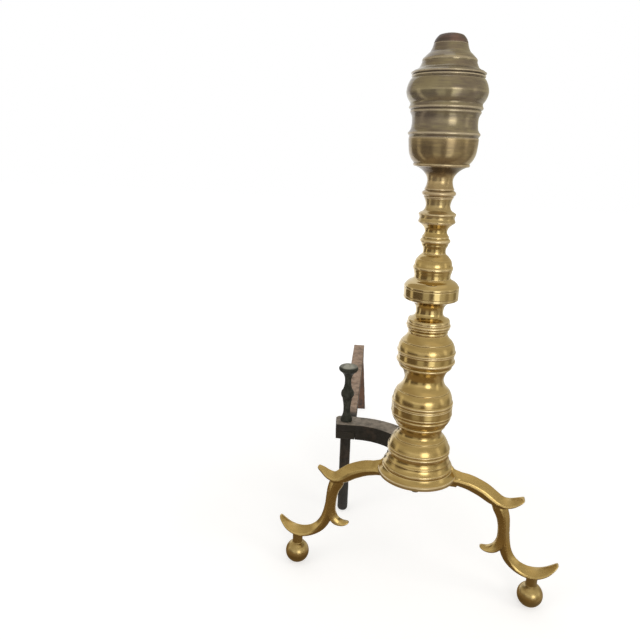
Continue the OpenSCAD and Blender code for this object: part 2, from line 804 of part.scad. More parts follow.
module tie_washer() {
    color(iron)
    translate([0, 0, washer_z])
    difference() {
        cylinder(r = washer_r, h = washer_h, $fn = bore_fn);
        translate([0, 0, -1])
            cylinder(r = rod_hole_r, h = washer_h + 2, $fn = bore_fn);
    }
}

module tie_nut() {
    color(iron)
    translate([0, 0, washer_z - nut_h])
    difference() {
        translate([-nut_w / 2, -nut_w / 2, 0])
            cube([nut_w, nut_w, nut_h]);
        translate([0, 0, -1])
            cylinder(d = rod_d, h = nut_h + 2, $fn = bore_fn);
    }
}

// ---- Iron log rest ----

// The curved bar turns to the left round this centre, a little past a quarter turn
arc_centre = [-arc_r, arc_y];
arc_turn = 90 + dog_leg;
arc_out = [cos(arc_turn), sin(arc_turn)];
arc_along = [-sin(arc_turn), cos(arc_turn)];
corner = arc_centre + arc_r * arc_out + (arc_end - corner_in) * arc_along;
lap_len = corner_in * 2;
// The forged end spreads a hair past the curved bar on each side
end_half = arc_w / 2 + 0.2;
crank_run = 16;
crank_y = arc_y - 1.5 * crank_run;
crank_end = crank_y + crank_run;

// Points that are square to the curved bar's end, measured from the corner leg's axis
function at_corner(points) =
    [for (p = points) corner - p.x * arc_along + p.y * arc_out];

module shank_hole() {
    cylinder(d = shank_d + 2 * slip, h = rest_z + 1, $fn = bore_fn);
}

module arc_bar() {
    eye_z = deck_z - eye_h;
    color(iron)
    difference() {
        union() {
            // the eye, and the crank that drops the bar below it
            translate([0, 0, eye_z])
                cylinder(d = eye_w, h = eye_h, $fn = bore_fn);
            intersection() {
                translate([-arc_w / 2, 0, 0])
                rotate([90, 0, 90])
                linear_extrude(arc_w)
                    polygon([[0, eye_z], [crank_y, eye_z], [crank_end, iron_bottom],
                             [arc_y, iron_bottom], [arc_y, rest_z],
                             [crank_end + crank_run / 4, rest_z],
                             [crank_y + crank_run / 2, deck_z], [0, deck_z]]);
                linear_extrude(deck_z + 10)
                    polygon([[-eye_w / 2, 0], [eye_w / 2, 0], [eye_w / 2, crank_y],
                             [arc_w / 2, crank_end], [arc_w / 2, arc_y],
                             [-arc_w / 2, arc_y], [-arc_w / 2, crank_end], [-eye_w / 2, crank_y]]);
            }
            translate([arc_centre.x, arc_centre.y, iron_bottom])
            rotate_extrude(angle = arc_turn, $fn = fine)
                translate([arc_r - arc_w / 2, 0])
                    square([arc_w, iron_h]);
            // the straight end, forged a little askew
            translate([0, 0, iron_bottom])
            linear_extrude(iron_h)
                polygon(at_corner([[arc_end - corner_in + 1, -end_half],
                                   [arc_end - corner_in + 1, end_half],
                                   [2 - corner_in, end_half],
                                   [-2 - corner_in, end_half - 5],
                                   [-corner_in, -end_half]]));
        }
        // lower half cut away for the billet bar's lap
        translate([0, 0, iron_bottom - 1])
        linear_extrude(iron_h / 2 + 1)
            polygon(at_corner([[-arc_w, -arc_w], [lap_len - corner_in, -arc_w],
                               [lap_len - corner_in, arc_w], [-arc_w, arc_w]]));
        translate([corner.x, corner.y, 0])
            shank_hole();
        translate([0, 0, eye_z - 1])
            cylinder(r = rod_hole_r, h = eye_h + 2, $fn = bore_fn);
    }
}

module billet_bar() {
    bend_r = iron_h - 1.5;
    heel_r = rear_t * 0.57;
    leg_top = iron_bottom - heel_r;
    lean = leg_top * tan(rear_lean);
    splay = leg_top * tan(rear_splay);
    start = end_half + slip;
    back = start + billet_len;
    side = billet_w / 2;
    color(rusty_iron)
    translate([corner.x, corner.y, 0])
    rotate([0, 0, dog_leg])
    difference() {
        union() {
            // the half lap under the curved bar
            translate([0, 0, iron_bottom])
            linear_extrude(iron_h / 2)
                polygon([[lap_len / 2 - slip, -end_half], [lap_len / 2 - slip, start + 4],
                         [2 - corner_in, start + 4], [-2 - corner_in, end_half - 5],
                         [-corner_in, -end_half]]);
            translate([lap_len / 2 - slip - side, 0, 0]) {
                // straight bar with the round heel of the bend at its far end
                translate([-side, 0, 0])
                rotate([90, 0, 90])
                linear_extrude(billet_w)
                    polygon(concat([[start, rest_z], [start, iron_bottom],
                                    [back - rear_t - heel_r, iron_bottom]],
                        arc_to([back - rear_t - heel_r, iron_bottom],
                               [back - rear_t, leg_top], -0.41),
                        [[back, leg_top]],
                        arc_to([back, rest_z - bend_r], [back - bend_r, rest_z], 0.41)));
                // rear leg, splayed backwards and leaning in towards the hearth
                polyhedron(
                    [[-side, back - rear_t, leg_top], [side, back - rear_t, leg_top],
                     [side, back, leg_top], [-side, back, leg_top],
                     [lean - side, back - rear_t + splay, 0], [lean + side, back - rear_t + splay, 0],
                     [lean + side, back + splay, 0], [lean - side, back + splay, 0]],
                    [[3, 2, 1, 0], [4, 5, 6, 7], [0, 1, 5, 4], [1, 2, 6, 5], [2, 3, 7, 6], [3, 0, 4, 7]]);
            }
        }
        shank_hole();
    }
}

module corner_leg() {
    foot = corner_d / 3;
    color(iron)
    translate([corner.x, corner.y, 0])
    difference() {
        rotate_extrude($fn = bore_fn)
            polygon(concat([[0, 0], [corner_d / 2 - foot, 0]],
                           arc_to([corner_d / 2 - foot, 0], [corner_d / 2, foot], 0.41),
                           [[corner_d / 2, iron_bottom], [0, iron_bottom]]));
        translate([0, 0, iron_bottom - shank_in_leg])
            cylinder(d = shank_d + 2 * slip, h = shank_in_leg + 1, $fn = bore_fn);
    }
}

module log_stop() {
    slim = stop_slim_r;
    color(iron)
    translate([corner.x, corner.y, 0]) {
        translate([0, 0, rest_z])
        rotate_extrude($fn = bore_fn)
            polygon(turned(stop_h, [
                [0, 0, 0],
                [stop_base_r, 0, 0],
                [stop_base_r - 0.4, 6, 0.1],
                [slim + 0.2, 19.7, -0.16],
                [slim + 1.5, 36, -0.06],
                [mix(slim, stop_bead_r, 0.55), 41.3, 0],
                [mix(slim, stop_bead_r, 0.5), 55.7, 0.4],
                [slim - 0.2, 69.8, -0.1],
                [slim + 0.8, 78.6, -0.1],
                [stop_knob_r - 0.8, 88, -0.2],
                [stop_knob_r - 0.8, 96, 0.5],
                [0, 100, 0.1]]));
        translate([0, 0, iron_bottom - shank_in_leg + slip])
            cylinder(d = shank_d, h = rest_z - iron_bottom + shank_in_leg, $fn = bore_fn);
    }
}

top_button();
finial_lid();
finial_drum();
finial_cup();
finial_stem();
upper_spool();
lower_spool();
ring_bulb();
collar();
neck_ring();
upper_bulb();
lower_bulb();
base_bell();
base_skirt();
base_plate();
left_leg();
right_leg();
leg_rivets();
left_ball_foot();
right_ball_foot();
tie_rod();
tie_washer();
tie_nut();
arc_bar();
billet_bar();
corner_leg();
log_stop();
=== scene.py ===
import math

import bmesh
import bpy
from mathutils import Matrix, Vector


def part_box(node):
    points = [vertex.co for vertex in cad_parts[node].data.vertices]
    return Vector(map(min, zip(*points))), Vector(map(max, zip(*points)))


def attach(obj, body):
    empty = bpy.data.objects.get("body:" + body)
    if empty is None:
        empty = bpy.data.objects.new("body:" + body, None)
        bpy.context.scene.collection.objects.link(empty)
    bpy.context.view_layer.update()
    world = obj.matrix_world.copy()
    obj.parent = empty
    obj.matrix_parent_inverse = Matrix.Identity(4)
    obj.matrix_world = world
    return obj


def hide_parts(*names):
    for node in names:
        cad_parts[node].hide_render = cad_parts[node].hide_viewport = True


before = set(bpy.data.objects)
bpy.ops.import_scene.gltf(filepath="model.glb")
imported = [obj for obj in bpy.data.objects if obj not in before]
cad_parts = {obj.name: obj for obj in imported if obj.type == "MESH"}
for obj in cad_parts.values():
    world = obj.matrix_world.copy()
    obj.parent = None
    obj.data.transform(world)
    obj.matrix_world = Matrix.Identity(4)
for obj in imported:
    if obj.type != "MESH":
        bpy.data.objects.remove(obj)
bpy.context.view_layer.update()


# ---- Camera ----
# The picture is taken from the front, a little to the right and from the height of
# the finial, tipped down and rolled slightly.
camera_place = Vector((0.0402, -0.6420, 0.4969))
camera_turn = math.radians(13.99)
camera_tip = math.radians(15.3)
camera_roll = math.radians(1.86)
camera_lens = 34.45
sensor = 36

bpy.ops.object.camera_add()
camera = bpy.context.object
camera.name = "camera"
camera.data.lens = camera_lens
camera.data.sensor_width = sensor
camera.matrix_world = (
    Matrix.Translation(camera_place)
    @ Matrix.Rotation(camera_turn, 4, "Z")
    @ Matrix.Rotation(math.pi / 2 - camera_tip, 4, "X")
    @ Matrix.Rotation(camera_roll, 4, "Z")
)
bpy.context.scene.camera = camera
bpy.context.scene.view_settings.view_transform = "Standard"


# ---- Studio ----
# A pale floor that fades into a white surround, lit by three soft lamps. A round screen
# that only metal mirrors stands for a dim room, which gives the brass its depth: dark
# ground, dark and pale walls, a ceiling and a few bright windows.
white = (1, 1, 1, 1)
surround_colour = (1, 0.985, 0.96, 1)
surround_light = 0.62
floor_size = 12
floor_colour = (0.86, 0.855, 0.845, 1)
floor_lift = 0.24
fade_from, fade_to = 0.3, 1.2
least_fade = 0.3
screen_profile = [(0.004, 0.001), (2.6, 0.001), (2.6, 2.1), (0.6, 3.1)]
screen_from, screen_to = -178, 132
screen_steps = 48
# Angles round the room are in degrees from the camera's side, positive to its right;
# elevations are in degrees over eye_height.
eye_height = 0.3
camera_side = math.atan2(camera_place.x, -camera_place.y)
ground_colour = (0.27, 0.185, 0.085)
ground_fades = (-46, -14)
ceiling_colour = (0.61, 0.55, 0.39)
ceiling_fades = (-5, 8)
# Walls from left to right: angle and colour
walls = [
    (-178, (0.22, 0.19, 0.13)), (-98, (0.16, 0.125, 0.075)), (-74, (0.15, 0.115, 0.075)),
    (-34, (0.15, 0.115, 0.075)), (-29, (0.58, 0.54, 0.4)), (-7, (0.58, 0.54, 0.4)),
    (-3, (0.2, 0.155, 0.1)), (10, (0.2, 0.155, 0.1)), (14, (0.64, 0.59, 0.43)),
    (56, (0.62, 0.57, 0.41)), (68, (0.36, 0.31, 0.2)), (80, (0.36, 0.31, 0.2)),
    (86, (0.58, 0.53, 0.39)), (104, (0.52, 0.48, 0.34)), (110, (0.3, 0.26, 0.17)),
    (125, (0.3, 0.26, 0.17)), (130, (0.7, 0.67, 0.56))]
# Windows and pale things: from and to in angle, lowest and highest in elevation,
# softness of their sides in degrees, and colour
sill_blur, head_blur = 8, 3
windows = [
    # the dim left half of the ceiling, and the skylight in the right half
    (-178, -55, 22, 88, 30, (0.5, 0.43, 0.29)),
    (-5, 125, 52, 88, 25, (0.8, 0.71, 0.5)),
    # a pale band along the front wall, and a patch of light on the ground at the right
    (-38, 42, 4, 14, 20, (0.98, 0.92, 0.74)),
    (76, 116, -62, -22, 6, (0.46, 0.385, 0.26)),
    # the main window, and the sky in it
    (16, 37, -29, 20, 2, (1.6, 1.56, 1.3)),
    (16, 36, 2, 14, 8, (4.2, 4, 3.25)),
    # two narrow windows, far to the left and to the right
    (-93, -80, -34, 16, 2, (0.85, 0.77, 0.56)),
    (76, 88, -6, 22, 2, (1.1, 1.02, 0.78))]
lamp_distance = 2.5
lamp_target = Vector((0, 0, 0.35))


def links(tree, *pairs):
    for start, end in pairs:
        tree.links.new(start, end)


def calc(tree, operation, first, second=0):
    """One step of arithmetic; each input is a number or a socket."""
    node = tree.nodes.new("ShaderNodeMath")
    node.operation = operation
    for value, socket in zip((first, second), node.inputs):
        if isinstance(value, (int, float)):
            socket.default_value = value
        else:
            tree.links.new(value, socket)
    return node.outputs[0]


def plus(tree, first, second):
    return calc(tree, "ADD", first, second)


def times(tree, first, second):
    return calc(tree, "MULTIPLY", first, second)


def share(tree, value, low, high, start=0.0, end=1.0, curve="SMOOTHSTEP"):
    """Maps value, between low and high, to start and end."""
    ramp = tree.nodes.new("ShaderNodeMapRange")
    ramp.interpolation_type = curve
    ramp.inputs["From Min"].default_value = low
    ramp.inputs["From Max"].default_value = high
    ramp.inputs["To Min"].default_value = start
    ramp.inputs["To Max"].default_value = end
    tree.links.new(value, ramp.inputs["Value"])
    return ramp.outputs[0]


def blend(tree, amount, first, second):
    """Mixes two colours, each a colour or a socket; amount 1 gives the second."""
    mix = tree.nodes.new("ShaderNodeMix")
    mix.data_type = "RGBA"
    tree.links.new(amount, mix.inputs[0])
    for value, socket in zip((first, second), (mix.inputs[6], mix.inputs[7])):
        if isinstance(value, tuple):
            socket.default_value = (*value, 1)
        else:
            tree.links.new(value, socket)
    return mix.outputs[2]


def split(tree, vector):
    """The x, y and z of a vector."""
    node = tree.nodes.new("ShaderNodeSeparateXYZ")
    tree.links.new(vector, node.inputs[0])
    return node.outputs


def object_place(tree):
    """The place on a piece, in the frame that all pieces share."""
    return tree.nodes.new("ShaderNodeTexCoord").outputs["Object"]


def bare_tree(owner):
    """The emptied shader tree of a material or a world."""
    owner.use_nodes = True
    owner.node_tree.nodes.clear()
    return owner.node_tree


def light_of(tree, kind, colour, strength):
    """What an emission or a background of this kind sends out."""
    glow = tree.nodes.new(kind)
    glow.inputs["Color"].default_value = colour
    glow.inputs["Strength"].default_value = strength
    return glow.outputs[0]


def seen_or_mirrored(tree):
    """1 for what the camera sees itself, mirrored in metal or through glass."""
    path = tree.nodes.new("ShaderNodeLightPath").outputs
    either = calc(tree, "MAXIMUM", path["Is Camera Ray"], path["Is Glossy Ray"])
    return calc(tree, "MAXIMUM", either, path["Is Transmission Ray"])


def around(angle, radius, height):
    """A place round the column, at an angle from the camera's side."""
    turn = math.radians(angle) + camera_side
    return Vector((math.sin(turn) * radius, -math.cos(turn) * radius, height))


def white_surround():
    world = bpy.data.worlds.new("studio")
    bpy.context.scene.world = world
    tree = bare_tree(world)
    out = tree.nodes.new("ShaderNodeOutputWorld")
    mix = tree.nodes.new("ShaderNodeMixShader")
    links(
        tree,
        (seen_or_mirrored(tree), mix.inputs[0]),
        (light_of(tree, "ShaderNodeBackground", surround_colour, surround_light), mix.inputs[1]),
        (light_of(tree, "ShaderNodeBackground", white, 1), mix.inputs[2]),
        (mix.outputs[0], out.inputs[0]),
    )


def pale_floor():
    bpy.ops.mesh.primitive_plane_add(size=floor_size, location=(0, 0, 0))
    floor = bpy.context.object
    floor.name = "floor"
    material = bpy.data.materials.new("pale_floor")
    floor.data.materials.append(material)
    tree = bare_tree(material)
    out = tree.nodes.new("ShaderNodeOutputMaterial")
    paint = tree.nodes.new("ShaderNodeBsdfDiffuse")
    paint.inputs["Color"].default_value = floor_colour
    away = tree.nodes.new("ShaderNodeVectorMath")
    away.operation = "LENGTH"
    mix = tree.nodes.new("ShaderNodeMixShader")
    lift = tree.nodes.new("ShaderNodeEmission")
    both = tree.nodes.new("ShaderNodeAddShader")
    links(
        tree,
        (object_place(tree), away.inputs[0]),
        (share(tree, away.outputs["Value"], fade_from, fade_to, least_fade, 1, "LINEAR"),
         mix.inputs[0]),
        (paint.outputs[0], mix.inputs[1]),
        (light_of(tree, "ShaderNodeEmission", white, 1), mix.inputs[2]),
        (times(tree, seen_or_mirrored(tree), floor_lift), lift.inputs["Strength"]),
        (mix.outputs[0], both.inputs[0]),
        (lift.outputs[0], both.inputs[1]),
        (both.outputs[0], out.inputs[0]),
    )


def room_colours():
    """What the metal mirrors in each direction: ground, walls, ceiling and windows."""
    material = bpy.data.materials.new("dim_room")
    tree = bare_tree(material)

    def step(value, low, high):
        return share(tree, value, math.radians(low), math.radians(high))

    x, y, z = split(tree, object_place(tree))
    turn = calc(tree, "ARCTAN2", x, times(tree, y, -1))
    turn = calc(tree, "WRAP", calc(tree, "SUBTRACT", turn, camera_side), math.pi)
    turn.node.inputs[2].default_value = -math.pi
    flat = calc(tree, "SQRT", plus(tree, times(tree, x, x), times(tree, y, y)))
    rise = calc(tree, "ARCTAN2", calc(tree, "SUBTRACT", z, eye_height), flat)
    wall = tree.nodes.new("ShaderNodeValToRGB")
    links(tree, (plus(tree, times(tree, turn, 0.5 / math.pi), 0.5), wall.inputs[0]))
    stops = wall.color_ramp.elements
    stops.remove(stops[1])
    for i, (angle, colour) in enumerate(walls):
        along = (angle + 180) / 360
        stop = stops.new(along) if i else stops[0]
        stop.position = along
        stop.color = (*colour, 1)
    colour = blend(tree, step(rise, *ground_fades), ground_colour, wall.outputs[0])
    colour = blend(tree, step(rise, *ceiling_fades), colour, ceiling_colour)
    for left, right, low, high, soft, light in windows:
        wide = times(tree, step(turn, left - soft, left + soft / 2),
                     step(turn, right + soft, right - soft / 2))
        tall = times(tree, step(rise, low - sill_blur, low + sill_blur),
                     step(rise, high + head_blur, high - head_blur))
        colour = blend(tree, times(tree, wide, tall), colour, light)
    glow = tree.nodes.new("ShaderNodeEmission")
    out = tree.nodes.new("ShaderNodeOutputMaterial")
    links(tree, (colour, glow.inputs["Color"]), (glow.outputs[0], out.inputs[0]))
    return material


def dim_room():
    """The screen round the andiron, spun from its profile; only mirrored rays see it."""
    bpy.ops.object.select_all(action="DESELECT")
    bpy.ops.mesh.primitive_plane_add(size=1, location=(0, 0, 0))
    screen = bpy.context.object
    screen.name = "screen"
    bpy.ops.object.mode_set(mode="EDIT")
    bpy.ops.mesh.merge(type="CENTER")
    points = [around(screen_from, radius, height) for radius, height in screen_profile]
    bpy.ops.transform.translate(value=points[0])
    for start, end in zip(points, points[1:]):
        bpy.ops.mesh.extrude_region_move(TRANSFORM_OT_translate={"value": end - start})
    bpy.ops.mesh.select_all(action="SELECT")
    bpy.ops.mesh.spin(steps=screen_steps, angle=math.radians(screen_to - screen_from),
                      center=(0, 0, 0), axis=(0, 0, 1))
    bpy.ops.object.mode_set(mode="OBJECT")
    screen.data.materials.append(room_colours())
    screen.visible_camera = False
    screen.visible_diffuse = False
    screen.visible_shadow = False
    screen.visible_transmission = False
    screen.visible_volume_scatter = False


def soft_lamp(name, angle, height, width, tall, power, colour):
    """A lamp the size of a window, which metal doesn't mirror."""
    place = around(angle, lamp_distance, height)
    bpy.ops.object.light_add(type="AREA", location=place)
    lamp = bpy.context.object
    lamp.name = name
    lamp.data.shape = "RECTANGLE"
    lamp.data.size = width
    lamp.data.size_y = tall
    lamp.data.energy = power
    lamp.data.color = colour
    lamp.visible_glossy = False
    lamp.rotation_euler = (lamp_target - place).to_track_quat("-Z", "Y").to_euler()


white_surround()
pale_floor()
dim_room()
soft_lamp("main_lamp", angle=20, height=1.25, width=0.95, tall=1.5,
          power=20, colour=(1, 0.98, 0.93))
soft_lamp("side_lamp", angle=70, height=1.5, width=1.2, tall=1.2,
          power=14, colour=(1, 0.97, 0.9))
soft_lamp("left_lamp", angle=-50, height=1.4, width=1.2, tall=1.2,
          power=10, colour=(1, 0.97, 0.92))


# ---- Curved bar ----
# Square wrought-iron bar, bent round from under the column to the corner leg; its forged
# eye lies on the tie rod, under the base plate. It is black with soot and dusty on top.
MM = 0.001
weld = 0.001 * MM
forge_grain = 0.7 * MM
hammer_size = 9 * MM
scale_depth = 0.5 * MM
soot = (0.025, 0.022, 0.019)
soot_fades_in = 30 * MM


def noise(tree, place, scale, detail, rough=0.55, warp=0.0):
    texture = tree.nodes.new("ShaderNodeTexNoise")
    texture.inputs["Scale"].default_value = scale
    texture.inputs["Detail"].default_value = detail
    texture.inputs["Roughness"].default_value = rough
    texture.inputs["Distortion"].default_value = warp
    tree.links.new(place, texture.inputs["Vector"])
    return texture.outputs["Fac"]


def new_finish(name):
    """A new material with what its finish reads: the place on the piece, how hollow the
    surface is there (under 0.5 in hollows, over it on edges) and how far it faces up."""
    material = bpy.data.materials.new(name)
    material.use_nodes = True
    tree = material.node_tree
    shape = tree.nodes.new("ShaderNodeNewGeometry").outputs
    facing_up = split(tree, shape["Normal"])["Z"]
    return (material, tree, tree.nodes["Principled BSDF"], object_place(tree),
            shape["Pointiness"], facing_up)


def bumped(tree, shader, height, depth):
    bump = tree.nodes.new("ShaderNodeBump")
    bump.inputs["Strength"].default_value = 1
    bump.inputs["Distance"].default_value = depth
    links(tree, (height, bump.inputs["Height"]), (bump.outputs[0], shader.inputs["Normal"]))


def iron(name, black, worn, dust, rust, dusty, rusty, sooty_to=None):
    """Forged iron: near black, rubbed on its edges, dusty on top and rusting in patches.
    A bar with sooty_to is as black as soot in front of that distance behind the column."""
    material, tree, shader, place, hollow, facing_up = new_finish(name)
    clouds = noise(tree, place, scale=26, detail=6, rough=0.62, warp=0.4)
    mottle = noise(tree, place, scale=150, detail=6, rough=0.7)
    grit = noise(tree, place, scale=700, detail=3, rough=0.6)
    blotches = noise(tree, place, scale=85, detail=5, rough=0.65, warp=0.3)
    colour = blend(tree, share(tree, mottle, 0.35, 0.7), black, worn)
    patches = share(tree, plus(tree, clouds, times(tree, mottle, 0.35)),
                    0.78 - 0.35 * rusty, 0.95 - 0.35 * rusty)
    colour = blend(tree, times(tree, patches, rusty), colour, rust)
    lying = times(tree, share(tree, facing_up, 0.55, 0.95),
                  share(tree, blotches, 0.32, 0.62, 0.35, 1))
    colour = blend(tree, times(tree, lying, dusty), colour, dust)
    if sooty_to:
        behind = split(tree, place)["Y"]
        clean = share(tree, behind, sooty_to, sooty_to + soot_fades_in)
        colour = blend(tree, clean, soot, colour)
    edges = share(tree, hollow, 0.53, 0.62, 0, 0.5)
    rubbed = tuple(c * 1.8 + 0.04 for c in worn)
    colour = blend(tree, edges, colour, rubbed)
    rough = plus(tree, share(tree, mottle, 0.3, 0.7, 0.5, 0.75), times(tree, lying, 0.15))
    links(tree, (colour, shader.inputs["Base Color"]), (rough, shader.inputs["Roughness"]))
    shader.inputs["Metallic"].default_value = 0.35
    bumped(tree, shader, plus(tree, mottle, times(tree, grit, 0.35)), scale_depth)
    return material


def apply_modifier(piece, kind, **settings):
    """Adds a modifier to the piece at hand and applies it at once."""
    bpy.ops.object.modifier_add(type=kind)
    modifier = piece.modifiers[-1]
    for setting, value in settings.items():
        setattr(modifier, setting, value)
    bpy.ops.object.modifier_apply(modifier=modifier.name)


def finish_piece(piece, finish, node):
    """Gives a piece its finish and puts it in the place of its node."""
    piece.data.materials.clear()
    piece.data.materials.append(finish)
    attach(piece, "root")
    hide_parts(node)


def forged(node, finish, unevenness, first=None, made="forged"):
    """A copy of the node with hammered faces and softened edges; first reshapes the copy."""
    bar = bpy.data.objects.new(f"{node}_{made}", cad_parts[node].data.copy())
    bpy.context.collection.objects.link(bar)
    bpy.ops.object.select_all(action="DESELECT")
    bar.select_set(True)
    bpy.context.view_layer.objects.active = bar
    bpy.ops.object.mode_set(mode="EDIT")
    bpy.ops.mesh.select_all(action="SELECT")
    bpy.ops.mesh.remove_doubles(threshold=weld)
    if first:
        first(bar)
    bpy.ops.object.mode_set(mode="OBJECT")
    apply_modifier(bar, "REMESH", mode="VOXEL", voxel_size=forge_grain, use_smooth_shade=True)
    apply_modifier(bar, "SMOOTH", factor=0.5, iterations=3)
    hammer = bpy.data.textures.new(f"{node}_hammer", "CLOUDS")
    hammer.noise_scale = hammer_size
    hammer.noise_depth = 1
    apply_modifier(bar, "DISPLACE", texture=hammer, texture_coords="LOCAL",
                   strength=unevenness, mid_level=0.62)
    finish_piece(bar, finish, node)


black_iron = iron(
    "black_iron", black=(0.014, 0.013, 0.012), worn=(0.034, 0.03, 0.027),
    dust=(0.33, 0.285, 0.24), rust=(0.1, 0.055, 0.03), dusty=0.95, rusty=0.25)
forged("arc_bar", black_iron, unevenness=0.5 * MM)


# ---- Billet bar ----
# Square wrought-iron bar on which the logs lie. Its rear end is turned down into the rear
# leg, with the outside of the bend hammered up square. Soot covers its front end.
billet_turn = math.radians(8.5)
bend_reach = 30 * MM
bend_round, bend_square = 20 * MM, 5 * MM
bend_margin = 0.01 * MM


def upset_bend(bar):
    """Hammers the outside of the rear bend up to a nearly sharp corner."""
    run = Matrix.Rotation(billet_turn, 3, "Z") @ Vector((0, 1, 0))
    mesh = bmesh.from_edit_mesh(bar.data)
    top = max(v.co.z for v in mesh.verts)
    back = max(v.co.dot(run) for v in mesh.verts if v.co.z > top - bend_reach)
    rows = {}
    for v in mesh.verts:
        y = v.co.dot(run) - back + bend_round
        z = v.co.z - top + bend_round
        if min(y, z) > -bend_margin:
            rows.setdefault(round(math.atan2(z, y), 3), []).append(v)
    grow = bend_round - bend_square
    for turn, row in rows.items():
        bpy.ops.mesh.select_all(action="DESELECT")
        for v in row:
            v.select = True
        outwards = run * (1 - math.cos(turn)) + Vector((0, 0, 1 - math.sin(turn)))
        bpy.ops.transform.translate(value=outwards * grow)
    bpy.ops.mesh.select_all(action="SELECT")


rusty_iron = iron(
    "rusty_iron", black=(0.034, 0.025, 0.02), worn=(0.075, 0.052, 0.038),
    dust=(0.48, 0.35, 0.265), rust=(0.17, 0.08, 0.042), dusty=0.9, rusty=0.6,
    sooty_to=148 * MM)
forged("billet_bar", rusty_iron, unevenness=0.5 * MM, first=upset_bend)


# ---- Corner leg and log stop ----
# The corner leg is a round iron bar under the joint of the two bars. The log stop is a
# turned iron knob over it; its shank passes through both bars and holds all three together.
stop_iron = iron(
    "log_stop_iron", black=(0.014, 0.017, 0.014), worn=(0.05, 0.054, 0.046),
    dust=(0.42, 0.42, 0.37), rust=(0.09, 0.08, 0.06), dusty=0.9, rusty=0.2)
forged("corner_leg", black_iron, unevenness=0.3 * MM)
forged("log_stop", stop_iron, unevenness=0.25 * MM)


# ---- Base plate ----
# A round brass plate, cast and turned, that carries the column. The legs' tongues and the
# curved bar's eye lie under it, and its rim is worn soft.
lathe_steps = 144
lathe_weld = 0.005 * MM
straight_step, arc_step = 0.8 * MM, 0.9 * MM
rod_hole = 4.9 * MM
round_edge = 0.25 * MM
sharp_from, smooth_to = math.radians(28), math.radians(40)
polish_depth = 0.1 * MM
shade_fades_in = 7 * MM


# The grime colour is real dirt in the hollows and pits, and also the colour of the painted shade.
def brass(name, bright, dull, grime_and_shade, pale_wear_and_sheen, tarnish, roughness, lathe_lines, shine=1,
          shaded_from=None, wear_and_sheen_edges=(0.506, 0.54), underside_shade=0):
    """Brass with cloudy tarnish, dark dirt in the hollows, turning lines, and paler edges that
    are partly wear and partly a painted highlight. Above the height shaded_from it is darkened
    with painted shade, and unrubbed darkens its undersides with painted shade."""
    material, tree, shader, place, hollow, facing_up = new_finish(name)

    def streaked(across, along):
        """The place, drawn out into streaks that run round the column."""
        mapping = tree.nodes.new("ShaderNodeMapping")
        mapping.inputs["Scale"].default_value = (across, across, along)
        tree.links.new(place, mapping.inputs["Vector"])
        return mapping.outputs[0]

    clouds = noise(tree, place, scale=30, detail=4, warp=0.4)
    streaks = noise(tree, streaked(45, 420), scale=1, detail=4, rough=0.6)
    mottle = noise(tree, place, scale=240, detail=5, rough=0.6, warp=0.2)
    specks = noise(tree, place, scale=560, detail=3)
    lines = noise(tree, streaked(4, 1100), scale=1, detail=1)
    cloudy = plus(tree, times(tree, clouds, 0.6), times(tree, streaks, 0.4))
    clouded = times(tree, share(tree, cloudy, 0.38, 0.64), tarnish)
    colour = blend(tree, clouded, bright, dull)
    pits = share(tree, specks, 0.7, 0.78, 0, 0.5)
    colour = blend(tree, pits, colour, grime_and_shade)
    deep = times(tree, share(tree, hollow, 0.495, 0.455, 0, 0.9),
                 share(tree, mottle, 0.3, 0.6, 0.5, 1))
    colour = blend(tree, deep, colour, grime_and_shade)
    # Painted shade: darker from the given height up, as under the cup.
    if shaded_from:
        high = split(tree, place)["Z"]
        painted_shade = share(tree, high, shaded_from, shaded_from + shade_fades_in, 0, 0.85)
        colour = blend(tree, painted_shade, colour, grime_and_shade)
    # Paler edges: partly real wear, partly a painted highlight on the ring crests.
    worn = share(tree, hollow, *wear_and_sheen_edges, 0, 0.75)
    colour = blend(tree, worn, colour, pale_wear_and_sheen)
    # Painted shade: faces that look sideways or down are darkened.
    if underside_shade:
        colour = blend(tree, share(tree, facing_up, 0.3, -0.2, 0, underside_shade), colour, grime_and_shade)
    rough = share(tree, mottle, 0.3, 0.75, roughness, roughness + 0.07)
    for layer, roughens in ((clouded, 0.09), (deep, 0.3), (worn, 0.2)):
        rough = plus(tree, rough, times(tree, layer, roughens))
    height = times(tree, lines, lathe_lines)
    for layer, lifts in ((clouds, 0.9), (mottle, 0.02), (pits, -0.2)):
        height = plus(tree, height, times(tree, layer, lifts))
    links(tree, (colour, shader.inputs["Base Color"]), (rough, shader.inputs["Roughness"]))
    shader.inputs["Metallic"].default_value = shine
    bumped(tree, shader, height, polish_depth)
    return material


def arc_to(start, end, bulge):
    """Points of the arc from start to end; bulge is the tangent of a quarter of its angle."""
    chord = (end - start).length
    if bulge == 0:
        parts = max(1, round(chord / straight_step))
        return [start.lerp(end, k / parts) for k in range(1, parts + 1)]
    half = 2 * math.atan(bulge)
    radius = chord / 2 / math.sin(half)
    along = (end - start) / chord
    out = Vector((along.y, -along.x))
    middle = (start + end) / 2
    parts = max(4, int(abs(radius * half) * 2 / arc_step))
    points = []
    for k in range(1, parts + 1):
        turn = half * (2 * k / parts - 1)
        side = math.cos(turn) - math.cos(half)
        points.append(middle + along * radius * math.sin(turn) + out * radius * side)
    return points


def draw_line(name, points):
    """A new piece that starts as one line of edges through the points."""
    bpy.ops.object.select_all(action="DESELECT")
    bpy.ops.mesh.primitive_plane_add(size=0.01, location=(0, 0, 0))
    piece = bpy.context.object
    piece.name = name
    bpy.ops.object.mode_set(mode="EDIT")
    bpy.ops.mesh.merge(type="CENTER")
    bpy.ops.transform.translate(value=points[0])
    for start, end in zip(points, points[1:]):
        bpy.ops.mesh.extrude_region_move(TRANSFORM_OT_translate={"value": end - start})
    bpy.ops.mesh.select_all(action="SELECT")
    bpy.ops.mesh.remove_doubles(threshold=lathe_weld)
    return piece


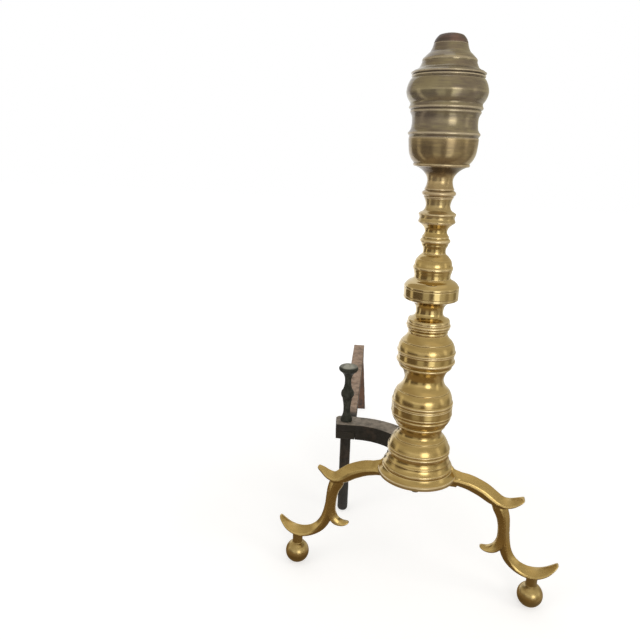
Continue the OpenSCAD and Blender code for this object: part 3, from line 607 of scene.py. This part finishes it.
def turn_on_lathe(node, steps, finish, hole=rod_hole, at=(0, 0)):
    """Spins an outline of (radius, height, bulge) steps, in millimetres, over the node's foot."""
    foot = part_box(node)[0].z
    corners = [Vector((r * MM, foot + z * MM)) for r, z, bulge in steps]
    outline = [corners[0]]
    if corners[0].x > hole:
        outline = [Vector((hole, corners[0].y))]
        outline += arc_to(outline[0], corners[0], 0)
    for start, end, (r, z, bulge) in zip(corners, corners[1:], steps[1:]):
        outline += arc_to(start, end, bulge)
    if outline[-1].x > hole:
        outline += arc_to(outline[-1], Vector((hole, outline[-1].y)), 0)
    if hole > 0:
        outline.append(outline[0])
    piece = draw_line(f"{node}_turned", [Vector((p.x, 0, p.y)) for p in outline])
    bpy.ops.mesh.spin(steps=lathe_steps, angle=2 * math.pi, center=(0, 0, 0), axis=(0, 0, 1))
    bpy.ops.mesh.select_all(action="SELECT")
    bpy.ops.mesh.remove_doubles(threshold=lathe_weld)
    bpy.ops.mesh.normals_make_consistent(inside=False)
    bpy.ops.transform.translate(value=(*at, 0))
    bpy.ops.object.mode_set(mode="OBJECT")
    apply_modifier(piece, "BEVEL", width=round_edge, segments=2, limit_method="ANGLE",
                   angle_limit=sharp_from)
    bpy.ops.object.shade_smooth_by_angle(angle=smooth_to)
    finish_piece(piece, finish, node)


plate_brass = brass(
    "worn_brass", bright=(0.64, 0.52, 0.32), dull=(0.5, 0.39, 0.22),
    grime_and_shade=(0.12, 0.075, 0.035), pale_wear_and_sheen=(0.95, 0.84, 0.66),
    tarnish=0.8, roughness=0.26, lathe_lines=0.1)
turn_on_lathe("base_plate", [
    (43.4, 0, 0), (44.2, 0.9, 0.4), (44.2, 3.1, 0), (43.5, 4, 0.4)],
    plate_brass)


# ---- Brass legs ----
# Two castings that mirror each other. A tongue is riveted under the plate; the leg
# arches over a leaf at the knee, drops past a second leaf and ends in an upturned pad.
tongue_from, tongue_to = 24 * MM, 46 * MM
tongue_width, tongue_thick = 13 * MM, 8.6 * MM
casting_grain = 0.48 * MM
# Half of the leg's section: out from the arris, its widest line, to the crest of the
# outer face and in to the flat inner face, as shares of width and of thickness
outer_face = [(0.5, 0), (0.44, 0.3), (0.31, 0.54), (0.16, 0.78), (0, 1)]
inner_face = [(0.41, -0.45), (0.3, -0.82), (0.18, -1)]
# Ribs are (x, z, thickness, width, crown, arris) in millimetres down the middle of the
# leg; crown tells how far the outer face swells, arris how far out the widest line is.
saddle_ribs = [
    (38.2, 149.5, 17, 8, 1.44, -0.1), (40.8, 149.5, 15, 11, 1.22, -0.1),
    (43.5, 149.5, 14.6, 14, 1.07, -0.1), (46.8, 149.4, 13.8, 15.5, 1, -0.1),
    (52, 148.6, 11, 14, 1, -0.1)]
arch_ribs = [
    (42.6, 147.7, 15.6, 17.6, 1, -0.1), (51, 146.7, 17.2, 17, 1, -0.1),
    (61, 144.4, 18.1, 16.2, 1, -0.1), (75, 138.3, 18.3, 15.8, 1, -0.1),
    (86, 131.2, 17, 16, 1, -0.14), (93.4, 127.8, 14.3, 16.8, 1, -0.2),
    (100, 126.9, 12.8, 17.6, 0.94, -0.26), (106.6, 128.2, 11.8, 17.2, 0.9, -0.3),
    (112.6, 131, 10, 15.6, 0.86, -0.3), (117.2, 133.6, 7.6, 13, 0.82, -0.3),
    (119.3, 135, 5, 9.6, 0.8, -0.3)]
upright_ribs = [
    (88.4, 129.6, 11, 10, 1, 0), (94.4, 120.8, 16.2, 13.4, 1, 0),
    (99, 110.2, 15, 13.6, 1, 0), (101.2, 99, 13.6, 13.4, 1, 0),
    (102.1, 88, 13.2, 13.4, 1, 0), (101.6, 78, 13, 13.6, 1, 0.1),
    (97.8, 70.2, 11.6, 13.4, 0.9, 0.2), (92, 65.7, 9.4, 12.8, 0.85, 0.26),
    (85.4, 64.4, 7, 11.2, 0.85, 0.26), (80.8, 65.4, 5.2, 8.6, 0.85, 0.26),
    (78.2, 66.6, 3.2, 5.6, 0.85, 0.26)]
foot_ribs = [
    (100.8, 100, 10.8, 12.4, 1, 0), (102.6, 88, 12.4, 13, 1, 0),
    (104.2, 76, 13, 13.6, 1, 0), (107.2, 65.4, 13, 14, 1, 0), (112.6, 56, 13, 15, 1, -0.06),
    (121, 48.8, 12.8, 16.6, 1, -0.18), (131.3, 45.1, 13.2, 19, 0.97, -0.28),
    (142, 45.2, 12.6, 20, 0.94, -0.3), (151.4, 48.6, 10.6, 18, 0.91, -0.3),
    (158.6, 54.1, 7.6, 14, 0.88, -0.3), (162.4, 58, 5.4, 9.6, 0.86, -0.3),
    (163.9, 59.8, 3.6, 5.6, 0.82, -0.3)]
# Heights and distances from the column, in millimetres, over which the knee, its leaf,
# the pad and the upright come in; leaf_inset is how far a leaf filed away draws back.
knee_from, knee_to = 105, 125
leaf_from, leaf_to = 92, 114
pad_from, pad_to = 108, 140
upright_low, upright_high = 42, 150
leaf_inset = 6.5


def smooth_ribs(ribs, steps=4):
    """More ribs between the given ones, on a smooth line through them."""
    last = len(ribs) - 1
    smooth = []
    for i in range(last):
        four = [ribs[max(i - 1, 0)], ribs[i], ribs[i + 1], ribs[min(i + 2, last)]]
        for k in range(steps):
            t = k / steps
            smooth.append([
                0.5 * (2 * b + (c - a) * t + (2 * a - 5 * b + 4 * c - d) * t * t
                       + (3 * b - a - 3 * c + d) * t ** 3)
                for a, b, c, d in zip(*four)])
    return smooth + [list(ribs[last])]


def swell(piece, x, widest, outer, inner):
    """Scales the outer and the inner half of the ring at hand, each from its widest line."""
    mesh = bmesh.from_edit_mesh(piece.data)
    ring = [v for v in mesh.verts if v.select]
    for side, grow in ((1, outer), (-1, inner)):
        for v in ring:
            v.select = (v.co.z - widest) * side > 0
        bpy.ops.transform.resize(value=(1, 1, grow), center_override=(x, 0, widest))
    for v in ring:
        v.select = True
    mesh.select_flush(True)


def draw_out(name, ribs):
    """Draws the leg's section out from rib to rib, each turned square to the leg's line."""
    ribs = smooth_ribs(ribs)
    last = len(ribs) - 1
    headings = []
    for i in range(last + 1):
        before, after = ribs[max(i - 1, 0)], ribs[min(i + 1, last)]
        headings.append(math.atan2(after[1] - before[1], after[0] - before[0]))
    halves = [((0.5 - arris) * thick * crown, (0.5 + arris) * thick)
              for x, z, thick, width, crown, arris in ribs]
    x, z, thick, width, crown, arris = ribs[0]
    half = [(y * width, n * halves[0][0]) for y, n in reversed(outer_face)]
    half += [(y * width, n * halves[0][1]) for y, n in inner_face]
    loop = half + [(-y, n) for y, n in reversed(half)]
    piece = draw_line(name, [
        Vector((x, y, z + arris * thick + n)) * MM for y, n in loop])
    bpy.ops.mesh.edge_face_add()
    for i, (x, z, thick, width, crown, arris) in enumerate(ribs):
        here = Vector((x, 0, z)) * MM
        if i:
            was_x, was_z, was_thick, was_width, was_crown, was_arris = ribs[i - 1]
            step = here - Vector((was_x, 0, was_z)) * MM
            bpy.ops.mesh.extrude_region_move(TRANSFORM_OT_translate={"value": step})
            bpy.ops.transform.rotate(
                value=-headings[i - 1], orient_axis="Y", center_override=here)
            bpy.ops.transform.translate(
                value=(0, 0, (arris * thick - was_arris * was_thick) * MM))
            bpy.ops.transform.resize(value=(1, width / was_width, 1), center_override=here)
            swell(piece, here.x, here.z + arris * thick * MM,
                  halves[i][0] / halves[i - 1][0], halves[i][1] / halves[i - 1][1])
        bpy.ops.transform.rotate(value=headings[i], orient_axis="Y", center_override=here)
    bpy.ops.mesh.select_all(action="SELECT")
    bpy.ops.mesh.normals_make_consistent(inside=False)
    bpy.ops.object.mode_set(mode="OBJECT")
    return piece


def filed(ribs, lean, arch_lift, leaf_lift, toe_lift, stout, leaf_size):
    """The ribs as filing left them on one of the legs."""
    def along(value, low, high):
        return min(max((value - low) / (high - low), 0), 1)

    moved = []
    for x, z, thick, width, crown, arris in ribs:
        high = along(z, knee_from, knee_to)
        leaf = high * along(x, leaf_from, leaf_to)
        toe = (1 - high) * along(x, pad_from, pad_to)
        body = high * (1 - leaf)
        leaning = lean * math.sin(math.pi * along(z, upright_low, upright_high))
        moved.append((
            x + leaning - (1 - leaf_size) * leaf_inset * leaf - toe_lift * toe,
            z + arch_lift * body + leaf_lift * leaf + toe_lift * toe,
            thick * (1 + (stout - 1) * body),
            width * (1 + (leaf_size - 1) * leaf),
            crown,
            arris))
    return moved


def cast_leg(name, lean=0, arch_lift=0, leaf_lift=0, toe_lift=0, stout=1, leaf_size=1):
    """One leg on the right-hand side. Filing left no two alike: lean moves the upright
    outwards, the lifts raise arch, knee leaf and pad, all in millimetres; stout thickens
    the arch and leaf_size is the width of the knee leaf."""
    parts = [
        draw_out(part, filed(ribs, lean, arch_lift, leaf_lift, toe_lift, stout, leaf_size))
        for part, ribs in ((name, arch_ribs), ("saddle", saddle_ribs),
                           ("upright", upright_ribs), ("foot", foot_ribs))]
    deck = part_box("base_plate")[0].z
    bpy.ops.mesh.primitive_cube_add(size=1, location=(0, 0, 0))
    tongue = bpy.context.object
    bpy.ops.object.mode_set(mode="EDIT")
    bpy.ops.transform.resize(value=(tongue_to - tongue_from, tongue_width, tongue_thick))
    bpy.ops.transform.translate(
        value=((tongue_from + tongue_to) / 2, 0, deck - tongue_thick / 2))
    bpy.ops.object.mode_set(mode="OBJECT")
    for part in (*parts, tongue):
        part.select_set(True)
    leg = parts[0]
    bpy.context.view_layer.objects.active = leg
    bpy.ops.object.join()
    apply_modifier(leg, "REMESH", mode="VOXEL", voxel_size=casting_grain, use_smooth_shade=True)
    apply_modifier(leg, "SMOOTH", factor=0.5, iterations=8)
    return leg


# Its undersides are darkened with painted shade.
leg_brass = brass(
    "filed_brass", bright=(0.62, 0.465, 0.215), dull=(0.48, 0.355, 0.16),
    grime_and_shade=(0.1, 0.06, 0.028), pale_wear_and_sheen=(0.92, 0.79, 0.55),
    tarnish=0.8, roughness=0.2, lathe_lines=0, wear_and_sheen_edges=(0.512, 0.56), underside_shade=0.42)
right_leg = cast_leg("right_leg_casting", lean=0.5)
left_leg = cast_leg("left_leg_casting", lean=-3, arch_lift=-2.2, leaf_lift=1.4, toe_lift=1,
                    stout=1.05, leaf_size=0.6)
bpy.ops.object.mode_set(mode="EDIT")
bpy.ops.mesh.select_all(action="SELECT")
bpy.ops.transform.resize(value=(-1, 1, 1), center_override=(0, 0, 0))
bpy.ops.mesh.normals_make_consistent(inside=False)
bpy.ops.object.mode_set(mode="OBJECT")
finish_piece(right_leg, leg_brass, "right_leg")
finish_piece(left_leg, leg_brass, "left_leg")


# ---- Leg rivets ----
# Brass rivets, one through each leg's tongue and the base plate, hammered over under
# the tongue.
forged("leg_rivets", leg_brass, unevenness=0.1 * MM, made="peened")


# ---- Ball feet ----
# Each ball is turned in brass with its short stem in one piece; the stem's tenon goes
# up through the pad and is hammered over on top.
ball = 14.35
stem = 6.1
stem_meets = ball + math.sqrt(ball ** 2 - stem ** 2)
# Their undersides are darkened with painted shade.
ball_brass = brass(
    "ball_brass", bright=(0.58, 0.45, 0.23), dull=(0.42, 0.325, 0.17),
    grime_and_shade=(0.09, 0.06, 0.03), pale_wear_and_sheen=(0.7, 0.57, 0.36),
    tarnish=0.9, roughness=0.25, lathe_lines=0.1, underside_shade=0.5)
for node in ("left_ball_foot", "right_ball_foot"):
    low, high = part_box(node)
    turn_on_lathe(node, [
        (0, 0, 0), (ball, ball, 0.4142), (stem + 0.6, stem_meets - 0.3, 0.28),
        (stem, stem_meets + 0.8, -0.3), (stem, 38.6, 0), (stem + 0.4, 39, 0),
        (stem + 0.4, 40.4, 0), (3.4, 40.6, 0), (3.4, 45.2, 0), (4.2, 45.4, 0),
        (4, 46.2, 0.3), (0, 46.8, 0.1)],
        ball_brass, hole=0, at=((low.x + high.x) / 2, 0))


# ---- Base skirt and bell ----
# The first two sections of the column on the plate. Like all of them they are cast in
# brass, turned and polished, and threaded on the iron rod; rings hide the joints.
bright_brass = brass(
    "polished_brass", bright=(0.61, 0.465, 0.225), dull=(0.46, 0.345, 0.165),
    grime_and_shade=(0.12, 0.075, 0.035), pale_wear_and_sheen=(0.92, 0.79, 0.58),
    tarnish=0.7, roughness=0.14, lathe_lines=0.25)
turn_on_lathe("base_skirt", [
    (43.4, 0, 0), (39.3, 6, -0.13), (38.3, 6.2, 0), (38.3, 9.6, 0.3), (37.6, 10, 0),
    (35.3, 15, -0.06), (34.8, 17.2, 0.2), (33.4, 21.4, -0.1), (33.9, 24.4, -0.12)],
    bright_brass)
turn_on_lathe("base_bell", [
    (33.9, 0, 0), (34.2, 0.4, 0), (34.2, 2.8, 0.45), (33.6, 3.8, -0.3), (34.3, 4.4, 0),
    (34.3, 6.6, 0.45), (33.7, 7.2, 0), (28.8, 17.2, 0.1), (28, 17.6, 0),
    (28, 18.2, 0), (27.4, 18.8, 0), (24, 25.6, -0.27), (26.8, 32.4, -0.17)],
    bright_brass)


# ---- Bulbs and neck ring ----
# Two round brass bulbs, each with a belt of turned rings round its middle and a fine line
# cut above, and over them a short ring piece in the neck.
turn_on_lathe("lower_bulb", [
    (26.8, 0, 0), (27.2, 0.2, 0), (27.2, 2.4, 0.5), (28.4, 3.2, 0), (31.9, 9.4, 0.1),
    (31.9, 12.2, 0.4), (32.8, 13.9, -0.1), (33.1, 14.2, 0), (33.1, 16.2, 0.45),
    (33.2, 16.6, 0), (33.2, 23.4, 0), (32.9, 23.8, 0), (32.9, 26, 0.4), (33.1, 26.6, 0),
    (33.1, 29.2, 0.35), (32.2, 30, 0), (32.2, 32.2, 0), (31.2, 36.6, 0.06),
    (28.8, 41.3, 0.06), (27.9, 41.7, 0), (27.9, 42.3, 0), (27.5, 42.8, 0),
    (21.2, 54.8, -0.2), (27.3, 68, -0.17)],
    bright_brass)
turn_on_lathe("upper_bulb", [
    (27.3, 0, 0), (28.2, 0.4, 0), (28.2, 2.6, 0.5), (29.4, 4, 0), (31, 6.2, 0.05),
    (31, 9, 0.45), (30.3, 9.4, 0), (30.3, 15.2, 0), (30.6, 15.4, 0), (30.6, 17.2, 0.45),
    (31.1, 17.3, 0), (31.1, 19.2, 0.45), (30.5, 19.8, 0), (30.6, 20.6, 0),
    (27.6, 28.7, 0.12), (26.8, 29.1, 0), (26.9, 29.7, 0), (26.5, 30.2, 0),
    (21.4, 36.6, -0.12), (20.7, 38, 0)],
    bright_brass)
turn_on_lathe("neck_ring", [
    (20.7, 0, 0), (20.9, 0.6, 0), (20.9, 3.4, 0.3), (22.4, 5.2, -0.1), (22.5, 7, 0.4),
    (22.9, 7.4, 0), (22.9, 10.4, 0.45), (22.5, 10.8, 0), (22.4, 12.5, 0.4)],
    bright_brass)


# ---- Collar ----
# A flat brass disc on a slim neck, turned in one piece, with a fine line cut along
# both edges of its rim. It is rubbed the smoothest of all the sections.
collar_brass = brass(
    "rubbed_brass", bright=(0.6, 0.465, 0.24), dull=(0.5, 0.385, 0.195),
    grime_and_shade=(0.12, 0.08, 0.045), pale_wear_and_sheen=(0.92, 0.8, 0.6),
    tarnish=0.6, roughness=0.1, lathe_lines=0.25)
turn_on_lathe("collar", [
    (22.4, 0, 0), (21.6, 3.3, 0.2), (15.4, 7.1, -0.2), (14.4, 10.7, -0.1),
    (15.4, 16.9, -0.08), (23.4, 23.4, -0.23), (27.8, 25.1, 0), (28.7, 25.9, 0.3),
    (28.7, 27.7, 0), (28.2, 28.1, 0), (28.7, 28.5, 0), (28.7, 36.5, 0), (28.2, 36.9, 0),
    (28.7, 37.3, 0), (28.7, 38.7, 0), (28, 39.9, 0.2), (22, 45.1, 0.2), (19, 47.5, -0.1)],
    collar_brass)


# ---- Ring bulb and spools ----
# A small brass bulb with one ring round it, and two spools with rings and hollows. The
# upper spool is duller, as the column darkens towards the finial.
spool_brass = brass(
    "handled_brass", bright=(0.53, 0.41, 0.22), dull=(0.36, 0.28, 0.155),
    grime_and_shade=(0.09, 0.06, 0.035), pale_wear_and_sheen=(0.8, 0.68, 0.5),
    tarnish=0.9, roughness=0.15, lathe_lines=0.25, shine=0.88)
turn_on_lathe("ring_bulb", [
    (18.9, 0, 0), (19.6, 6, -0.12), (20.1, 8.4, 0), (20.1, 12.6, 0.35), (19.6, 13.2, 0),
    (17.8, 19.8, 0.1), (17, 20.4, 0), (13, 24.6, 0.12), (12.1, 26, -0.1)],
    bright_brass)
turn_on_lathe("lower_spool", [
    (12, 0, 0), (12.8, 7, -0.2), (13.6, 9.2, 0.2), (14.2, 10.6, 0), (14.2, 15, 0.6),
    (13.7, 15.6, 0), (13.2, 18, 0.3), (11.4, 21.6, -0.12), (12.6, 26.2, -0.15),
    (17.5, 30.6, -0.08), (17.7, 31, 0)],
    bright_brass)
turn_on_lathe("upper_spool", [
    (17.7, 0, 0), (18.8, 0.6, 0.3), (18.8, 2.2, 0.2), (17.9, 5.2, -0.1), (18.8, 8, -0.1),
    (18.8, 9.8, 0.35), (16.8, 11.2, 0), (12.6, 16.4, -0.3), (12.6, 20.2, -0.1),
    (14.3, 25, -0.05)],
    spool_brass)


# ---- Finial ----
# Four hollow brass castings, turned and stacked: the stem that flares under the cup, the
# cup, the wide drum and the stepped lid. They are never rubbed, so they are grey with
# tarnish; the top of the stem, under the cup, is darkened with painted shade.
# The stem is darkened with painted shade from this height up, under the cup.
stem_shaded_from = 476 * MM
stem_brass = brass(
    "stem_brass", bright=(0.5, 0.385, 0.22), dull=(0.34, 0.255, 0.155),
    grime_and_shade=(0.075, 0.052, 0.036), pale_wear_and_sheen=(0.7, 0.58, 0.42),
    tarnish=0.9, roughness=0.17, lathe_lines=0.25, shine=0.85, shaded_from=stem_shaded_from)
cup_brass = brass(
    "cup_brass", bright=(0.39, 0.3, 0.165), dull=(0.235, 0.178, 0.11),
    grime_and_shade=(0.08, 0.06, 0.042), pale_wear_and_sheen=(0.6, 0.5, 0.36),
    tarnish=1, roughness=0.11, lathe_lines=0.1, shine=0.82)
grey_brass = brass(
    "tarnished_brass", bright=(0.31, 0.265, 0.17), dull=(0.185, 0.15, 0.122),
    grime_and_shade=(0.06, 0.048, 0.042), pale_wear_and_sheen=(0.6, 0.52, 0.4),
    tarnish=1, roughness=0.11, lathe_lines=0.1, shine=0.7)
turn_on_lathe("finial_stem", [
    (14.2, 0, 0), (14.6, 0.3, 0), (14.6, 1.8, 0.5), (15.9, 2.8, 0), (15.9, 6.8, 0.55),
    (14.4, 7.7, 0), (14.3, 10, 0.4), (12.7, 17, -0.1), (14.2, 22.2, -0.12),
    (21.8, 29.2, -0.13), (25.8, 31, -0.05)],
    stem_brass)
turn_on_lathe("finial_cup", [
    (27.2, 0, 0), (27.4, 0.3, 0), (27.4, 2.8, 0.5), (27.8, 3.4, 0), (33.2, 14.4, 0.16),
    (34.2, 26.4, 0.03), (34, 27, 0)],
    cup_brass)
turn_on_lathe("finial_drum", [
    (34, 0, 0), (33.6, 1, 0), (34.6, 2.6, 0), (34.6, 5.4, 0.5), (32.4, 10, -0.15),
    (32.2, 19, -0.06), (33.9, 23.2, -0.1), (33.9, 26, 0.35), (33.8, 26.4, 0),
    (35.3, 27, 0), (35.3, 29.6, 0.4), (34.8, 31.4, 0), (35, 32.8, 0), (39.4, 43, 0.17),
    (35.6, 54.4, 0.14), (34.6, 55.2, 0), (34.4, 56, 0)],
    grey_brass)
turn_on_lathe("finial_lid", [
    (34.4, 0, 0), (34.9, 0.2, 0), (34.9, 1.8, 0.5), (34.1, 2.3, 0), (35.6, 3.2, 0),
    (35.6, 4.4, 0.4), (33.6, 5.8, -0.1), (28.4, 8.8, -0.14), (26, 14, -0.06),
    (25.6, 16.8, 0.3), (20.2, 22, 0.02), (19.4, 22.5, 0), (16.2, 30.5, -0.1)],
    grey_brass)


# ---- Top button ----
# A low brass button screwed on the rod's end, which holds the column down. It is browned
# and nearly matt.
button_brown = brass(
    "browned_brass", bright=(0.17, 0.1, 0.08), dull=(0.07, 0.055, 0.048),
    grime_and_shade=(0.035, 0.028, 0.024), pale_wear_and_sheen=(0.22, 0.17, 0.135),
    tarnish=1, roughness=0.33, lathe_lines=0.2, shine=0.5)
turn_on_lathe("top_button", [
    (16, 0, 0), (15.9, 1.2, 0.2), (11.3, 7.5, 0.16), (0, 9.5, 0.08)],
    button_brown)


# ---- Tie rod, washer and nut ----
# The iron rod runs from the top button down through all the sections, the plate and the
# curved bar's eye; washer and nut draw it tight, and its stub shows under the plate's rim.
stub_end = 2 * MM
stub_drop = 2.6 * MM


def longer_stub(bar):
    """Draws the rod's free end down to where it shows under the plate's rim."""
    mesh = bmesh.from_edit_mesh(bar.data)
    lowest = min(v.co.z for v in mesh.verts)
    for v in mesh.verts:
        v.select = v.co.z < lowest + stub_end
    bpy.ops.transform.translate(value=(0, 0, -stub_drop))
    bpy.ops.mesh.select_all(action="SELECT")


forged("tie_rod", black_iron, unevenness=0.1 * MM, first=longer_stub)
for node in ("tie_washer", "tie_nut"):
    forged(node, black_iron, unevenness=0.1 * MM)
